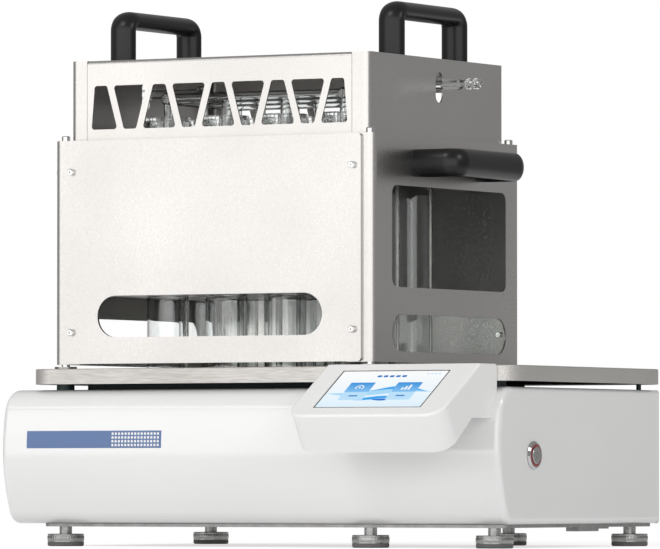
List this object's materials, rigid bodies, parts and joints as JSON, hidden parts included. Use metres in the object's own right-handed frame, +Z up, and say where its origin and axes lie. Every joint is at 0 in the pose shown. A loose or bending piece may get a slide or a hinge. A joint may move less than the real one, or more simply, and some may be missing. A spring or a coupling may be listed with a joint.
{
  "type": "block digester",
  "caption": "Bench graphite block digester: white heated base with a tilted touch screen, lift-out rack of glass tubes, and a slotted fume hood over a glass manifold.",
  "frame": {"origin": "on the bench, under the centre of the whole object's box", "axes": "+Z up, -Y towards the user at the display, +X to the user's right, where the display and power button are"},
  "size_m": [0.5788, 0.4471, 0.5412],
  "materials": {
    "white_paint": "smooth satin white powder coat",
    "white_plastic": "fine satin white",
    "dark_sheet": "matt black",
    "brushed_tray": "brushed stainless",
    "blasted_steel": "bead blasted stainless",
    "turned_steel": "turned stainless",
    "zinc_steel": "zinc plated",
    "bright_chrome": "polished",
    "galvanised_sheet": "galvanised",
    "insulation_board": "matt pressed board",
    "ceramic_fibre": "soft white fibre board",
    "graphite": "machined graphite with a dull sheen",
    "heater_metal": "cast and milled",
    "circuit_board": "green solder mask",
    "black_plastic": "fine grain",
    "black_grip": "satin black",
    "grey_cap": "satin turned",
    "lit_ring": "lit red ring",
    "screen_glass": "glass over a lit screen",
    "foot_rubber": "matt dark grey",
    "clear_glass": "clear borosilicate"
  },
  "bodies": {
    "base": {"base_housing": "white_paint", "bottom_plate": "galvanised_sheet", "rear_cover": "white_paint", "cover_screws": "zinc_steel", "power_inlet": "black_plastic", "fuse_holder": "black_plastic", "fan_frame": "black_plastic", "foot_bushes": "zinc_steel", "heat_tray": "brushed_tray", "tray_liner": "insulation_board", "tray_spacers": "dark_sheet", "heat_board": "insulation_board", "rack_seats": "zinc_steel", "graphite_block": "graphite", "heater_plate": "heater_metal", "insulation_jacket": "ceramic_fibre", "furnace_case": "galvanised_sheet", "furnace_legs": "zinc_steel", "temperature_probe": "zinc_steel", "partition_wall": "galvanised_sheet", "control_board": "circuit_board", "power_supply": "galvanised_sheet", "relay_heat_sink": "heater_metal", "solid_state_relay": "black_plastic", "display_housing": "white_plastic", "touch_screen": "screen_glass", "button_bezel": "bright_chrome", "button_light_ring": "lit_ring"},
    "rack": {"rack_left_side": "blasted_steel", "rack_right_side": "blasted_steel", "rack_front_plate": "blasted_steel", "rack_back_plate": "blasted_steel", "rack_screws": "zinc_steel", "corner_rods": "turned_steel", "tube_plate": "blasted_steel", "lower_tube_plate": "blasted_steel", "digestion_tubes": "clear_glass", "side_handle_left": "black_grip", "side_handle_right": "black_grip"},
    "hood": {"hood_wrap": "blasted_steel", "hood_left_side": "blasted_steel", "hood_right_side": "blasted_steel", "top_handle_left": "black_grip", "top_handle_right": "black_grip"},
    "manifold": {"glass_manifold": "clear_glass", "tube_caps": "clear_glass"},
    "power_button": {"button_cap": "grey_cap"},
    "fan": {"fan_rotor": "black_plastic"},
    "foot_1": {"foot_1_post": "zinc_steel", "foot_1_pad": "foot_rubber"},
    "foot_2": {"foot_2_post": "zinc_steel", "foot_2_pad": "foot_rubber"},
    "foot_3": {"foot_3_post": "zinc_steel", "foot_3_pad": "foot_rubber"},
    "foot_4": {"foot_4_post": "zinc_steel", "foot_4_pad": "foot_rubber"},
    "foot_5": {"foot_5_post": "zinc_steel", "foot_5_pad": "foot_rubber"},
    "foot_6": {"foot_6_post": "zinc_steel", "foot_6_pad": "foot_rubber"}
  },
  "joints": [
    {"name": "rack_lift", "type": "slide", "parent": "base", "child": "rack", "axis": [0, 0, 1], "range_m": [0, 0.15]},
    {"name": "hood_lift", "type": "slide", "parent": "rack", "child": "hood", "axis": [0, 0, 1], "range_m": [0, 0.1]},
    {"name": "manifold_float", "type": "slide", "parent": "hood", "child": "manifold", "axis": [0, 0, 1], "range_m": [0, 0.006]},
    {"name": "power_button_press", "type": "slide", "parent": "base", "child": "power_button", "axis": [-1, 0, 0], "range_m": [0, 0.002], "stiffness_N_per_m": 400, "springref_m": -0.002},
    {"name": "fan_spin", "type": "hinge", "parent": "base", "child": "fan", "pos_m": [0.21615, 0.21489, 0.092], "axis": [0, 1, 0], "continuous": true},
    {"name": "foot_1_turn", "type": "hinge", "parent": "base", "child": "foot_1", "pos_m": [-0.22665, -0.09001, 0], "axis": [0, 0, 1], "continuous": true},
    {"name": "foot_2_turn", "type": "hinge", "parent": "base", "child": "foot_2", "pos_m": [0.12465, -0.09001, 0], "axis": [0, 0, 1], "continuous": true},
    {"name": "foot_3_turn", "type": "hinge", "parent": "base", "child": "foot_3", "pos_m": [0.26235, -0.09001, 0], "axis": [0, 0, 1], "continuous": true},
    {"name": "foot_4_turn", "type": "hinge", "parent": "base", "child": "foot_4", "pos_m": [-0.22665, 0.19399, 0], "axis": [0, 0, 1], "continuous": true},
    {"name": "foot_5_turn", "type": "hinge", "parent": "base", "child": "foot_5", "pos_m": [0.12465, 0.19399, 0], "axis": [0, 0, 1], "continuous": true},
    {"name": "foot_6_turn", "type": "hinge", "parent": "base", "child": "foot_6", "pos_m": [0.26235, 0.19399, 0], "axis": [0, 0, 1], "continuous": true}
  ]
}
